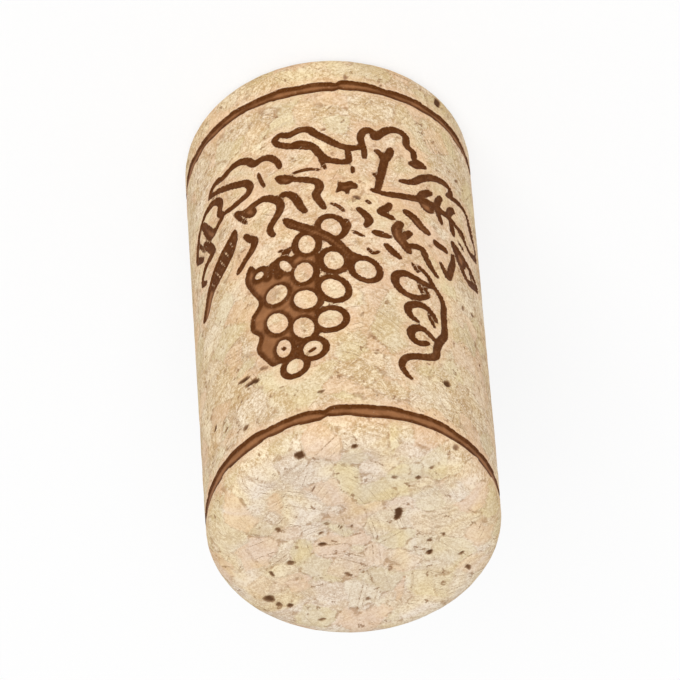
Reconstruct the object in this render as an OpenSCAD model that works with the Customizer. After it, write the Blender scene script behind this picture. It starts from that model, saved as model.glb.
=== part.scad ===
// Cork stopper of moulded granulated cork, standing on one end.
// Its side carries a print pressed in a little: a frame that wraps round and
// closes in a double seam line, and a grape and vine ornament on each half.
// Millimetres. +Z runs along the stopper, the origin is the middle of its foot.

/* [Cork] */
// Diameter of the stopper
cork_d = 23; // [22:0.5:26]
// Length of the stopper
cork_l = 44; // [38:1:54]
// Rounding of the two end edges
edge_r = 2.2; // [0.5:0.1:2.3]

/* [Printed frame] */
// How deep the print is pressed into the side
press_depth = 0.12; // [0.05:0.01:0.14]
// Width of the upper band
band_top_w = 1.3; // [0.5:0.05:1.3]
// From the top end to the middle of the upper band
band_top = 2.7; // [2.6:0.05:4]
// Width of the lower band
band_foot_w = 1.1; // [0.5:0.05:1.3]
// From the foot to the middle of the lower band
band_foot = 4.3; // [2.6:0.05:5.5]
// Width of each of the two seam lines
seam_w = 0.7; // [0.4:0.05:0.9]
// Bare gap between the two seam lines
seam_gap = 0.8; // [0.4:0.05:1.2]

/* [Printed ornament] */
// Size of the ornament against the drawing below
motif_size = 1.02; // [0.8:0.01:1.05]
// How far its middle lies over the middle between the bands
motif_rise = -0.25; // [-1:0.05:1]
// Width of the leaf and tendril lines
line_w = 0.75; // [0.4:0.05:0.8]
// Width of the ring round each grape
grape_ring = 0.6; // [0.4:0.05:0.65]
// Width of the stem of the bunch and of the heavy strokes
stem_w = 1; // [0.7:0.05:1.1]
// Share of its width that a line keeps at its tips
tip_share = 0.55; // [0.4:0.05:1]

/* [Hidden] */

cork_r = cork_d / 2;
girth = PI * cork_d;
core_r = cork_r - press_depth;
band_top_z = cork_l - band_top;
motif_z = (band_foot + band_top_z) / 2 + motif_rise;
// Smoothness of round surfaces, sides of a grape and pieces of a tendril stretch
round_fn = 180;
grape_sides = 9;
tendril_steps = 2;
// Cutters reach this far past the surface, and start inside the core even
// at the edge of a motif that spans widest_turn degrees to each side
reach_out = 0.6;
widest_turn = 27;
cutter_from = cork_r * cos(widest_turn) - reach_out;
cutter_h = cork_r + reach_out - cutter_from;

// The ornament is drawn flat. x runs along the girth and y along the stopper,
// from its middle, with the bunch hanging to -y. A unit of it is motif_size millimetres.

// Grapes of the bunch: middle x and y, half width, half height, tilt
grapes = [
    [-4.6, -12.6, 0.70, 0.75, 0],
    [-5.4, -10.3, 0.60, 0.95, 5],
    [-3.1, -11.2, 0.75, 0.80, 0],
    [-3.7, -8.7, 0.80, 1.15, 15],
    [-5.8, -7.3, 0.80, 1.20, 25],
    [-1.6, -8.3, 0.95, 0.95, 0],
    [-3.4, -5.7, 0.85, 1.10, 30],
    [-1.2, -5.0, 0.80, 1.15, 30],
    [-5.7, -4.2, 0.90, 0.95, 0],
    [-3.4, -2.7, 0.75, 1.05, 0],
    [-1.0, -1.9, 0.75, 1.00, 10],
    [-3.0, 0.3, 0.65, 1.00, 5],
    [-1.0, 1.8, 0.75, 1.00, 20],
    [-4.8, -1.5, 0.35, 0.80, 30],
    [-7.1, -1.3, 0.40, 0.35, 0],
];
// The one grape that hangs apart
lone_grape = [1.4, -2.9, 0.80, 1.00, 25];
// Shade between the grapes, with a scalloped left edge
bunch_shade = [
    [-7.9, 0.3], [-8.5, -1.0], [-8.0, -2.6], [-7.3, -4.3], [-8.1, -5.4], [-8.2, -6.8], [-7.5, -7.9],
    [-7.8, -9.2], [-7.1, -10.7], [-6.2, -11.8], [-4.4, -10.6], [-2.6, -9.6], [-2.4, -7.0],
    [-2.2, -4.0], [-2.2, -0.6], [-4.2, -0.6], [-5.4, -2.2], [-5.6, -0.6], [-6.2, -0.7], [-6.4, -1.9],
    [-7.2, -0.7],
];
// Heavy stem from the leaves over the bunch to the lone grape
bunch_stem = [
    [-4.4, 3.4], [-3.8, 2.7], [-2.9, 2.0], [-2.0, 1.3], [-1.1, 0.5], [-0.5, -0.3], [0.3, -1.3],
    [1.3, -1.7],
];

// Pointed curl over the middle: its upper and its lower edge
curl = [
    [[-5.1, 12.9], [-4.5, 13.2], [-3.8, 12.9], [-2.9, 13.2], [-2.2, 13.1], [-1.7, 12.5], [-1.0, 11.9],
        [-0.2, 11.2], [0.5, 10.8], [1.4, 10.8], [2.0, 11.2]],
    [[-5.1, 12.9], [-4.7, 12.2], [-3.8, 11.7], [-2.9, 11.7], [-2.0, 11.1], [-1.5, 10.2], [-1.0, 9.5],
        [-0.2, 9.2], [0.7, 9.2], [0.7, 10.5]],
];

// Small leaf beside it: its outline, then its forked vein
small_leaf = [
    [[2.0, 9.8], [2.0, 10.8], [1.8, 12.0], [2.2, 12.9], [2.8, 12.9], [3.0, 12.3], [3.6, 13.0],
        [4.3, 13.6], [5.1, 13.8], [5.7, 13.4], [5.7, 12.4], [6.3, 12.0], [6.4, 11.2], [7.3, 10.9],
        [5.9, 10.4]],
    [[2.8, 6.0], [3.1, 7.4], [3.4, 8.8], [3.6, 9.8], [3.4, 10.4], [3.0, 10.8]],
    [[3.6, 9.7], [4.0, 10.6], [4.3, 11.4]],
];

// Left leaf: edges of its long pointed lobes from the top one down
left_leaf = [
    [[-12.0, 11.3], [-11.7, 11.9], [-11.0, 12.2], [-10.1, 12.0], [-9.2, 12.3], [-8.3, 12.3],
        [-7.5, 11.9], [-6.9, 11.2], [-6.1, 11.3], [-5.4, 11.0], [-4.9, 10.3], [-4.7, 9.6]],
    [[-12.0, 11.4], [-10.7, 11.0], [-9.4, 10.4], [-8.4, 9.9], [-7.7, 9.5], [-7.4, 8.8], [-7.8, 8.2],
        [-9.0, 8.0], [-10.2, 8.0]],
    [[-13.4, 9.9], [-12.6, 10.3], [-11.8, 10.4], [-11.0, 10.1], [-10.6, 9.4], [-10.8, 8.6],
        [-10.5, 7.9], [-11.4, 7.2]],
    [[-13.5, 9.8], [-14.1, 9.0], [-14.6, 7.9], [-14.8, 7.0], [-14.2, 6.4], [-13.5, 5.8]],
    [[-13.2, 7.3], [-12.6, 6.3], [-12.0, 5.1], [-13.0, 4.8], [-13.7, 4.3], [-14.0, 3.6], [-13.3, 3.0]],
    [[-8.9, 7.0], [-8.2, 6.5], [-7.1, 6.7], [-6.2, 6.8], [-5.4, 6.3], [-4.9, 5.6], [-5.0, 4.7],
        [-5.6, 3.8], [-5.9, 3.1], [-5.6, 2.3]],
    [[-8.2, 3.9], [-7.8, 3.3], [-7.3, 2.7], [-7.6, 1.9], [-8.3, 1.2], [-9.1, 0.5]],
];
// Its shadows, and its lowest lobe
left_leaf_shade = [
    [[-13.6, 9.8], [-13.0, 9.6], [-12.3, 8.6], [-11.6, 7.6], [-10.8, 7.4], [-11.6, 6.7], [-12.4, 6.9],
        [-13.2, 8.3]],
    [[-8.4, 6.6], [-7.4, 6.8], [-6.9, 5.9], [-7.3, 5.4], [-8.0, 5.8]],
    [[-9.3, 0.3], [-8.7, 0.3], [-8.0, 1.2], [-8.7, 1.3]],
    [[-14.3, -0.5], [-13.6, 1.1], [-12.6, 2.6], [-11.5, 3.7], [-10.2, 4.7], [-9.2, 5.4], [-8.9, 4.4],
        [-9.3, 3.1], [-10.2, 2.0], [-11.4, 1.2], [-12.3, 0.6], [-13.3, -0.8]],
];

// Right leaf: its outline down to the tip, its main vein and its side veins
right_leaf = [
    [[4.9, 8.0], [6.0, 8.4], [6.9, 9.3], [8.0, 10.1], [9.1, 10.5], [10.1, 10.5], [10.2, 9.9],
        [9.7, 9.3]],
    [[9.7, 9.4], [10.9, 9.7], [12.0, 9.9], [13.0, 9.5], [13.7, 8.5], [14.3, 7.2], [14.3, 6.3],
        [13.5, 5.7], [12.6, 5.5], [11.8, 5.9]],
    [[2.4, 6.2], [3.5, 6.0], [4.6, 6.2], [5.8, 6.5], [6.9, 6.8], [8.2, 6.9], [9.6, 6.8], [11.0, 6.5],
        [12.0, 6.0]],
    [[7.8, 8.3], [6.9, 7.5], [6.5, 6.8]],
    [[8.9, 8.5], [8.4, 7.5], [8.4, 6.4], [8.7, 5.4]],
    [[10.5, 8.3], [9.9, 7.7], [9.6, 6.8]],
    [[9.9, 6.6], [10.0, 5.9], [10.1, 5.2]],
    [[9.8, 2.6], [9.7, 1.7], [9.4, 0.8], [8.9, -0.5], [8.2, 0.6]],
    [[11.7, 1.4], [12.4, 1.6], [13.2, 2.1], [13.8, 2.5]],
];
// Its lower lobe, a closed line, and its shadows
right_leaf_lobe = [
    [10.0, 4.0], [11.2, 3.6], [12.4, 3.2], [13.8, 2.5], [13.0, 1.9], [12.0, 1.4], [11.2, 1.8],
    [10.6, 2.7],
];
right_leaf_shade = [
    [[12.6, 9.5], [13.4, 9.0], [14.1, 7.5], [13.3, 7.7]],
    [[6.4, 6.8], [7.8, 6.9], [7.9, 6.0], [7.2, 5.6], [6.6, 6.0]],
    [[10.6, 6.6], [11.7, 6.9], [12.1, 5.8], [11.2, 5.9]],
    [[10.3, 3.9], [11.6, 3.6], [11.6, 2.6], [10.8, 2.3]],
];

// Tendril: the line down to the hook, then its three coils
tendril = [
    [[5.9, -1.2], [6.7, -1.8], [7.2, -2.7], [7.8, -3.4], [8.1, -4.3], [8.0, -5.4], [8.0, -6.6],
        [7.9, -7.7], [7.4, -8.6], [7.0, -9.6], [6.8, -10.6], [5.9, -11.2], [5.0, -11.5], [4.1, -12.0],
        [3.7, -12.9], [4.0, -13.7], [4.4, -14.1]],
    [[7.2, -2.8], [6.5, -2.9], [5.6, -2.7], [4.7, -2.5], [3.9, -2.9], [3.7, -3.7], [4.1, -4.5],
        [4.9, -4.9], [5.8, -4.7], [6.5, -4.2]],
    [[7.2, -6.6], [6.8, -5.9], [6.1, -5.5], [5.2, -5.7], [4.6, -6.3], [4.8, -7.1], [5.4, -7.5]],
    [[6.9, -8.9], [6.0, -8.2], [5.2, -8.3], [4.7, -8.9], [4.8, -9.6], [5.4, -9.9], [6.2, -9.5]],
];

// Short strokes where the leaves meet
sprigs = [
    [[-4.8, 6.5], [-4.1, 6.3], [-3.6, 5.6], [-3.3, 4.7], [-2.9, 3.9]],
    [[-4.2, 8.1], [-3.3, 7.7], [-2.5, 7.4], [-1.8, 7.0], [-1.7, 6.3], [-2.0, 5.6], [-1.7, 4.7],
        [-1.4, 4.0]],
    [[1.2, 3.9], [1.7, 3.3], [2.0, 2.7], [1.7, 2.0]],
    [[2.3, 1.4], [2.9, 1.3], [3.5, 1.2]],
    [[3.8, 4.9], [3.5, 4.4], [3.0, 3.8], [4.0, 3.4]],
    [[5.4, 2.4], [4.9, 1.8], [4.5, 1.2]],
    [[5.0, 0.7], [5.8, 1.0], [6.4, 1.0], [6.7, 0.2], [7.1, -0.6], [7.7, -1.3]],
    [[3.2, 0.2], [3.7, -0.4], [4.3, -0.9]],
];
// Heavy strokes among them
heavy_sprigs = [
    [[5.1, 4.6], [5.9, 4.2], [6.5, 3.6], [7.1, 3.3]],
    [[4.6, 3.1], [4.2, 2.3], [4.3, 1.5], [4.8, 0.7], [5.1, 0.1]],
];
// Blots and thickened starts of strokes
blots = [
    [[-0.2, 7.1], [0.2, 6.8], [0.8, 7.0], [1.3, 6.6], [1.2, 6.1], [0.7, 6.0], [0.5, 5.3], [0.1, 5.8],
        [-0.5, 5.6], [-0.3, 6.3]],
    [[-5.2, 8.7], [-4.3, 8.6], [-3.5, 8.0], [-3.9, 7.5], [-4.8, 7.7]],
    [[-4.8, 3.8], [-4.2, 3.6], [-3.0, 2.4], [-3.5, 2.1], [-4.5, 2.7]],
    [[7.6, 2.9], [8.3, 2.9], [9.1, 2.8], [9.1, 2.2], [8.2, 2.2], [7.6, 2.3]],
    [[5.7, 10.5], [6.4, 10.1], [7.4, 10.9], [6.5, 11.1]],
];

// Point i of a list that is open or runs round
function wrap(i, n) = (i + n) % n;

// Unit vector square to the step from a to b, on its left
function left_of(a, b) = [a.y - b.y, b.x - a.x] / norm(b - a);

// Offset direction at point i, longer at a corner so that the line keeps its width
function offset_at(p, i, closed) =
    let (
        n = len(p),
        first = !closed && i == 0,
        last = !closed && i == n - 1,
        before = first ? left_of(p[0], p[1]) : left_of(p[wrap(i - 1, n)], p[i]),
        after = last ? before : left_of(p[i], p[wrap(i + 1, n)]),
        both = before + after,
        unit = both / norm(both)
    )
    unit / max(0.7, unit * after);

// A line is thinner at its two tips
function taper(i, n, closed) = closed || (i > 0 && i < n - 1) ? 1 : tip_share;

// One edge of a line of width w along the points p, on the left for side 1
function line_edge(p, w, side, closed = false) =
    [for (i = [0 : len(p) - 1]) p[i] + side * w / 2 * taper(i, len(p), closed) * offset_at(p, i, closed)];

// A point at the share t of the stretch from b to c, with its neighbours a and d
function between(a, b, c, d, t) =
    b + t / 2 * (c - a) + t * t / 2 * (2 * a - 5 * b + 4 * c - d) + t * t * t / 2 * (3 * b - a - 3 * c + d);

// A smooth curve through the points p, with k pieces to a stretch
function curve(p, k) =
    let (n = len(p) - 1)
    [
        for (i = [0 : n - 1], j = [0 : k - 1])
            between(p[max(0, i - 1)], p[i], p[i + 1], p[min(n, i + 2)], j / k),
        p[n],
    ];

// An ellipse with its middle, half sizes and tilt as in the grape list, grown by extra
function oval(g, extra = 0) =
    [
        for (i = [0 : grape_sides - 1])
            let (
                turn = 360 * i / grape_sides,
                x = (motif_size * g[2] + extra) * cos(turn),
                y = (motif_size * g[3] + extra) * sin(turn)
            )
            [
                motif_size * g[0] + x * cos(g[4]) - y * sin(g[4]),
                motif_size * g[1] + x * sin(g[4]) + y * cos(g[4]),
            ]
    ];

// Points of the drawing at their real size
function sized(p) = [for (q = p) motif_size * [q.x, q.y]];

// Middle of the points p along the girth
function middle_x(p) = (min([for (q = p) q.x]) + max([for (q = p) q.x])) / 2;

// Flat drawing seen square on from the place x0: points of the girth move in a sine
function seen_from(x0, p) = [for (q = p) [cork_r * sin((q.x - x0) * 360 / girth), q.y]];

// Raises a flat shape into a cutter that points out at x0 along the girth
module cutter(x0) {
    rotate([0, 0, -x0 * 360 / girth])
        rotate([-90, 0, 180])
            translate([0, 0, cutter_from])
                linear_extrude(cutter_h)
                    children();
}

// A line of even width with narrower tips
module line(p, w) {
    q = sized(p);
    x0 = middle_x(q);
    outline = concat(line_edge(q, w, 1), [for (i = [len(q) - 1 : -1 : 0]) line_edge(q, w, -1)[i]]);
    cutter(x0) polygon(seen_from(x0, outline));
}

// A line that runs round and closes on itself
module ring_line(p, w) {
    q = sized(p);
    x0 = middle_x(q);
    n = len(q);
    edges = concat(line_edge(q, w, 1, true), line_edge(q, w, -1, true));
    cutter(x0)
        polygon(seen_from(x0, edges), [[for (i = [0 : n - 1]) i], [for (i = [n : 2 * n - 1]) i]]);
}

// A filled patch of print
module patch(p) {
    q = sized(p);
    x0 = middle_x(q);
    cutter(x0) polygon(seen_from(x0, q));
}

// Bunch: rings and shade, with the grapes themselves left bare
module bunch() {
    x0 = middle_x(sized(concat(bunch_shade, grapes)));
    cutter(x0)
        difference() {
            union() {
                polygon(seen_from(x0, sized(bunch_shade)));
                for (g = grapes) polygon(seen_from(x0, oval(g, grape_ring)));
            }
            for (g = grapes) polygon(seen_from(x0, oval(g)));
        }
    line(bunch_stem, stem_w);
    lone_x = motif_size * lone_grape.x;
    cutter(lone_x)
        difference() {
            polygon(seen_from(lone_x, oval(lone_grape, grape_ring)));
            polygon(seen_from(lone_x, oval(lone_grape)));
        }
}

// The vine: curl, leaves, tendril and the strokes between them
module vine() {
    for (p = concat(curl, small_leaf, left_leaf, right_leaf, sprigs)) line(p, line_w);
    for (p = heavy_sprigs) line(p, stem_w);
    for (p = concat(left_leaf_shade, right_leaf_shade, blots)) patch(p);
    ring_line(right_leaf_lobe, line_w);
    for (p = tendril) line(curve(p, tendril_steps), line_w);
}

// One panel's ornament, at the front, and its mirror image at the back
module ornaments() {
    translate([0, 0, motif_z]) {
        bunch();
        vine();
        mirror([0, 1, 0]) {
            bunch();
            vine();
        }
    }
}

// Bands near the two ends, open at the seam, and the two seam lines between them
module frame() {
    difference() {
        for (band = [[band_foot, band_foot_w], [band_top_z, band_top_w]])
            translate([0, 0, band[0] - band[1] / 2])
                cylinder(r = cork_r + reach_out, h = band[1], $fn = round_fn);
        translate([-cork_d, -seam_gap / 2, 0]) cube([cork_d, seam_gap, cork_l]);
    }
    for (side = [-1, 1])
        translate([-cork_r - reach_out, side * (seam_gap + seam_w) / 2 - seam_w / 2, band_foot])
            cube([cork_r, seam_w, band_top_z - band_foot]);
}

// Everything that is pressed in, as a thin skin outside the core
module print() {
    difference() {
        union() {
            frame();
            ornaments();
        }
        cylinder(r = core_r, h = cork_l, $fn = round_fn);
    }
}

// The plain cork: a cylinder with rounded end edges
module cork() {
    rotate_extrude($fn = round_fn) {
        square([cork_r - edge_r, cork_l]);
        translate([0, edge_r]) square([cork_r, cork_l - 2 * edge_r]);
        for (y = [edge_r, cork_l - edge_r])
            translate([cork_r - edge_r, y]) intersection() {
                circle(edge_r, $fn = round_fn);
                translate([0, -edge_r]) square([edge_r, 2 * edge_r]);
            }
    }
}

module stopper() {
    difference() {
        color("tan") cork();
        color("sienna") print();
    }
}

stopper();
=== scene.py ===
"""Looks of a cork stopper: granulated cork with a vine ornament pressed and printed into its side.

The whole stopper is one closed surface, worked out as arrays: a wall that is a grid of rows and
columns, and two round ends that are square grids drawn out to discs. Its relief and its colours
come from the same fields: granules, hollows, and the distance to the edge of the print.
The stopper's lengths are in millimetres up to the last step, where MM turns them into metres. The
camera's and the floor's are in metres.
"""

import itertools
import math

import bpy
import numpy as np
from mathutils import Matrix, Vector


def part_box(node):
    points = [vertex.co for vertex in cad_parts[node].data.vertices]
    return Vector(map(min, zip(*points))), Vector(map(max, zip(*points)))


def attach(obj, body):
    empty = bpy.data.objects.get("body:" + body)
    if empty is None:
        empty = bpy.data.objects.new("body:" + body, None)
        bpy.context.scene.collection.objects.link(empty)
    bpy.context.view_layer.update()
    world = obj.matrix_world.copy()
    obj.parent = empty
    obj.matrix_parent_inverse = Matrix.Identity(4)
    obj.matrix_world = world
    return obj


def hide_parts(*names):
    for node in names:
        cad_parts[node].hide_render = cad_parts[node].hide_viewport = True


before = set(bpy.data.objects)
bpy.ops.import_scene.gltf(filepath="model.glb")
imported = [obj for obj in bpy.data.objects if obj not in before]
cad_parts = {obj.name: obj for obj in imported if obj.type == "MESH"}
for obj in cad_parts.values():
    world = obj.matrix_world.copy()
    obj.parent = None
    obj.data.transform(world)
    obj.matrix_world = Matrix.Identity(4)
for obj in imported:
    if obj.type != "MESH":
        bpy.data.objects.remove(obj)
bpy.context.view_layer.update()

MM = 0.001

# Stopper, from the frame: radius and length
foot_corner, top_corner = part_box("stopper")
CORK_R = (top_corner.x - foot_corner.x) / 2 / MM
CORK_L = (top_corner.z - foot_corner.z) / MM
GIRTH = 2 * math.pi * CORK_R
# Rounding of the end edges
EDGE_R = 2.2

# Printed frame: widths and heights of the two bands, then the seam lines and the bare gap between them
BAND_TOP_W = 1.3
BAND_FOOT_W = 1.1
BAND_TOP_Z = CORK_L - 2.7
BAND_FOOT_Z = 4.3
SEAM_W = 0.7
SEAM_GAP = 0.8
# The bands again, each with the phase of its unevenness and the x where the print's ends met in it
BANDS = [
    (BAND_TOP_Z, BAND_TOP_W, 0.4, -2.5),
    (BAND_FOOT_Z, BAND_FOOT_W, 2.1, 0.3),
]
# Unevenness of a band's middle and half width: height, waves round the stopper, share of the phase
BAND_WAVER = [(0.06, 3, 1), (0.04, 8, 2), (0.03, 19, 0)]
BAND_SWELL = [(0.05, 5, 1), (0.04, 13, 0), (0.03, 31, 0)]
# Where the print's ends met, a band steps by BAND_STEP over STEP_W to each side, and comes back to
# its place over STEP_REACH. There its half width is also smaller by BAND_NECK, over NECK_REACH.
BAND_STEP = 0.22
STEP_W = 0.25
STEP_REACH = 2.5
BAND_NECK = 0.15
NECK_REACH = 0.35
# A seam line leans by a share of the height, and its half width swells in slow waves
SEAM_LEAN = 0.0022
SEAM_SWELL = 0.03
SEAM_WAVES = 1.1
# Size of the ornament against the drawing below, and the height of its middle
MOTIF_SIZE = 1.02
MOTIF_Z = (BAND_TOP_Z + BAND_FOOT_Z) / 2 - 0.25
# How deep the print is pressed in, and how wide the slope at its edge is
PRESS_DEPTH = 0.12
PRESS_SLOPE = 0.12

# Widths of the ornament's lines, and the share of it that is left at their tips
LINE_W = 0.75
FINE_W = 0.4
GRAPE_RING = 0.6
STEM_W = 1.0
HATCH_W = 0.15
TIP_SHARE = 0.55
# Pieces in a stretch of a curve, and in an oval
CURVE_STEPS = 6
OVAL_SIDES = 36

# The ornament is drawn flat. x runs along the girth and y along the stopper, from its middle, with
# the bunch hanging to -y. A unit of it is MOTIF_SIZE millimetres, and the widths are in millimetres.

# Grapes of the bunch: middle x and y, half width, half height, tilt in degrees
GRAPES = [
    (-4.6, -12.6, 0.70, 0.75, 0),
    (-5.4, -10.3, 0.60, 0.95, 5),
    (-3.1, -11.2, 0.75, 0.80, 0),
    (-3.7, -8.7, 0.80, 1.15, 15),
    (-5.8, -7.3, 0.80, 1.20, 25),
    (-1.6, -8.3, 0.95, 0.95, 0),
    (-3.4, -5.7, 0.85, 1.10, 30),
    (-1.2, -5.0, 0.80, 1.15, 30),
    (-5.7, -4.2, 0.90, 0.95, 0),
    (-3.4, -2.7, 0.75, 1.05, 0),
    (-1.0, -1.9, 0.75, 1.00, 10),
    (-3.0, 0.3, 0.65, 1.00, 5),
    (-1.0, 1.8, 0.75, 1.00, 20),
    (-4.8, -1.5, 0.35, 0.80, 30),
    (-7.1, -1.3, 0.40, 0.35, 0),
]
# The one grape that hangs apart
LONE_GRAPE = (1.4, -2.9, 0.80, 1.00, 25)
# Shade between the grapes, with a scalloped left edge
BUNCH_SHADE = [
    (-7.9, 0.3), (-8.5, -1.0), (-8.0, -2.6), (-7.3, -4.3), (-8.1, -5.4), (-8.2, -6.8), (-7.5, -7.9),
    (-7.8, -9.2), (-7.1, -10.7), (-6.2, -11.8), (-4.4, -10.6), (-2.6, -9.6), (-2.4, -7.0),
    (-2.2, -4.0), (-2.2, -0.6), (-4.2, -0.6), (-5.4, -2.2), (-5.6, -0.6), (-6.2, -0.7),
    (-6.4, -1.9), (-7.2, -0.7),
]
# Heavy stem from the leaves over the bunch to the lone grape
BUNCH_STEM = [
    (-4.4, 3.4), (-3.8, 2.7), (-2.9, 2.0), (-2.0, 1.3), (-1.1, 0.5), (-0.5, -0.3), (0.3, -1.3), (1.3, -1.7),
]

# Lines of the vine: the pointed curl over the middle, upper and lower edge
CURL = [
    [(-5.1, 12.9), (-4.5, 13.2), (-3.8, 12.9), (-2.9, 13.2), (-2.2, 13.1), (-1.7, 12.5), (-1.0, 11.9),
     (-0.2, 11.2), (0.5, 10.8), (1.4, 10.8), (2.0, 11.2)],
    [(-5.1, 12.9), (-4.7, 12.2), (-3.8, 11.7), (-2.9, 11.7), (-2.0, 11.1), (-1.5, 10.2), (-1.0, 9.5),
     (-0.2, 9.2), (0.7, 9.2), (0.7, 10.5)],
]
# Small leaf beside it: outline, then the forked vein
SMALL_LEAF = [
    [(2.0, 9.8), (2.0, 10.8), (1.8, 12.0), (2.2, 12.9), (2.8, 12.9), (3.0, 12.3), (3.6, 13.0), (4.3, 13.6),
     (5.1, 13.8), (5.7, 13.4), (5.7, 12.4), (6.3, 12.0), (6.4, 11.2), (7.3, 10.9), (5.9, 10.4)],
    [(2.8, 6.0), (3.1, 7.4), (3.4, 8.8), (3.6, 9.8), (3.4, 10.4), (3.0, 10.8)],
    [(3.6, 9.7), (4.0, 10.6), (4.3, 11.4)],
]
# Left leaf: edges of its long pointed lobes from the top one down
LEFT_LEAF = [
    [(-12.0, 11.3), (-11.7, 11.9), (-11.0, 12.2), (-10.1, 12.0), (-9.2, 12.3), (-8.3, 12.3), (-7.5, 11.9),
     (-6.9, 11.2), (-6.1, 11.3), (-5.4, 11.0), (-4.9, 10.3), (-4.7, 9.6)],
    [(-12.0, 11.4), (-10.7, 11.0), (-9.4, 10.4), (-8.4, 9.9), (-7.7, 9.5), (-7.4, 8.8), (-7.8, 8.2),
     (-9.0, 8.0), (-10.2, 8.0)],
    [(-13.4, 9.9), (-12.6, 10.3), (-11.8, 10.4), (-11.0, 10.1), (-10.6, 9.4), (-10.8, 8.6), (-10.5, 7.9),
     (-11.4, 7.2)],
    [(-13.5, 9.8), (-14.1, 9.0), (-14.6, 7.9), (-14.8, 7.0), (-14.2, 6.4), (-13.5, 5.8)],
    [(-13.2, 7.3), (-12.6, 6.3), (-12.0, 5.1), (-13.0, 4.8), (-13.7, 4.3), (-14.0, 3.6), (-13.3, 3.0)],
    [(-8.9, 7.0), (-8.2, 6.5), (-7.1, 6.7), (-6.2, 6.8), (-5.4, 6.3), (-4.9, 5.6), (-5.0, 4.7), (-5.6, 3.8),
     (-5.9, 3.1), (-5.6, 2.3)],
    [(-8.2, 3.9), (-7.8, 3.3), (-7.3, 2.7), (-7.6, 1.9), (-8.3, 1.2), (-9.1, 0.5)],
]
# Its shadows, and the lowest lobe with the bare stripes that hatch it
LEFT_LEAF_SHADE = [
    [(-13.6, 9.8), (-13.0, 9.6), (-12.3, 8.6), (-11.6, 7.6), (-10.8, 7.4), (-11.6, 6.7), (-12.4, 6.9),
     (-13.2, 8.3)],
    [(-8.4, 6.6), (-7.4, 6.8), (-6.9, 5.9), (-7.3, 5.4), (-8.0, 5.8)],
    [(-9.3, 0.3), (-8.7, 0.3), (-8.0, 1.2), (-8.7, 1.3)],
]
HATCHED_LOBE = [
    (-14.3, -0.5), (-13.6, 1.1), (-12.6, 2.6), (-11.5, 3.7), (-10.2, 4.7), (-9.2, 5.4), (-8.9, 4.4),
    (-9.3, 3.1), (-10.2, 2.0), (-11.4, 1.2), (-12.3, 0.6), (-13.3, -0.8),
]
HATCHES = [
    [(-12.4, 2.0), (-12.0, 1.4)],
    [(-11.8, 2.8), (-11.2, 1.7)],
    [(-11.1, 3.4), (-10.5, 2.3)],
    [(-10.5, 3.9), (-9.9, 2.8)],
    [(-9.8, 4.4), (-9.5, 3.7)],
]
# Right leaf: its outline down to the tip, its main vein and its side veins
RIGHT_LEAF = [
    [(4.9, 8.0), (6.0, 8.4), (6.9, 9.3), (8.0, 10.1), (9.1, 10.5), (10.1, 10.5), (10.2, 9.9), (9.7, 9.3)],
    [(9.7, 9.4), (10.9, 9.7), (12.0, 9.9), (13.0, 9.5), (13.7, 8.5), (14.3, 7.2), (14.3, 6.3), (13.5, 5.7),
     (12.6, 5.5), (11.8, 5.9)],
    [(2.4, 6.2), (3.5, 6.0), (4.6, 6.2), (5.8, 6.5), (6.9, 6.8), (8.2, 6.9), (9.6, 6.8), (11.0, 6.5),
     (12.0, 6.0)],
    [(7.8, 8.3), (6.9, 7.5), (6.5, 6.8)],
    [(8.9, 8.5), (8.4, 7.5), (8.4, 6.4), (8.7, 5.4)],
    [(10.5, 8.3), (9.9, 7.7), (9.6, 6.8)],
    [(9.9, 6.6), (10.0, 5.9), (10.1, 5.2)],
    [(9.8, 2.6), (9.7, 1.7), (9.4, 0.8), (8.9, -0.5), (8.2, 0.6)],
    [(11.7, 1.4), (12.4, 1.6), (13.2, 2.1), (13.8, 2.5)],
]
# Its lower lobe, a closed line, and its shadows
RIGHT_LEAF_LOBE = [
    (10.0, 4.0), (11.2, 3.6), (12.4, 3.2), (13.8, 2.5), (13.0, 1.9), (12.0, 1.4), (11.2, 1.8), (10.6, 2.7),
]
RIGHT_LEAF_SHADE = [
    [(12.6, 9.5), (13.4, 9.0), (14.1, 7.5), (13.3, 7.7)],
    [(6.4, 6.8), (7.8, 6.9), (7.9, 6.0), (7.2, 5.6), (6.6, 6.0)],
    [(10.6, 6.6), (11.7, 6.9), (12.1, 5.8), (11.2, 5.9)],
    [(10.3, 3.9), (11.6, 3.6), (11.6, 2.6), (10.8, 2.3)],
]
# Tendril: the line down to the hook, then its three coils
TENDRIL = [
    [(5.9, -1.2), (6.7, -1.8), (7.2, -2.7), (7.8, -3.4), (8.1, -4.3), (8.0, -5.4), (8.0, -6.6), (7.9, -7.7),
     (7.4, -8.6), (7.0, -9.6), (6.8, -10.6), (5.9, -11.2), (5.0, -11.5), (4.1, -12.0), (3.7, -12.9),
     (4.0, -13.7), (4.4, -14.1)],
    [(7.2, -2.8), (6.5, -2.9), (5.6, -2.7), (4.7, -2.5), (3.9, -2.9), (3.7, -3.7), (4.1, -4.5), (4.9, -4.9),
     (5.8, -4.7), (6.5, -4.2)],
    [(7.2, -6.6), (6.8, -5.9), (6.1, -5.5), (5.2, -5.7), (4.6, -6.3), (4.8, -7.1), (5.4, -7.5)],
    [(6.9, -8.9), (6.0, -8.2), (5.2, -8.3), (4.7, -8.9), (4.8, -9.6), (5.4, -9.9), (6.2, -9.5)],
]
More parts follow.
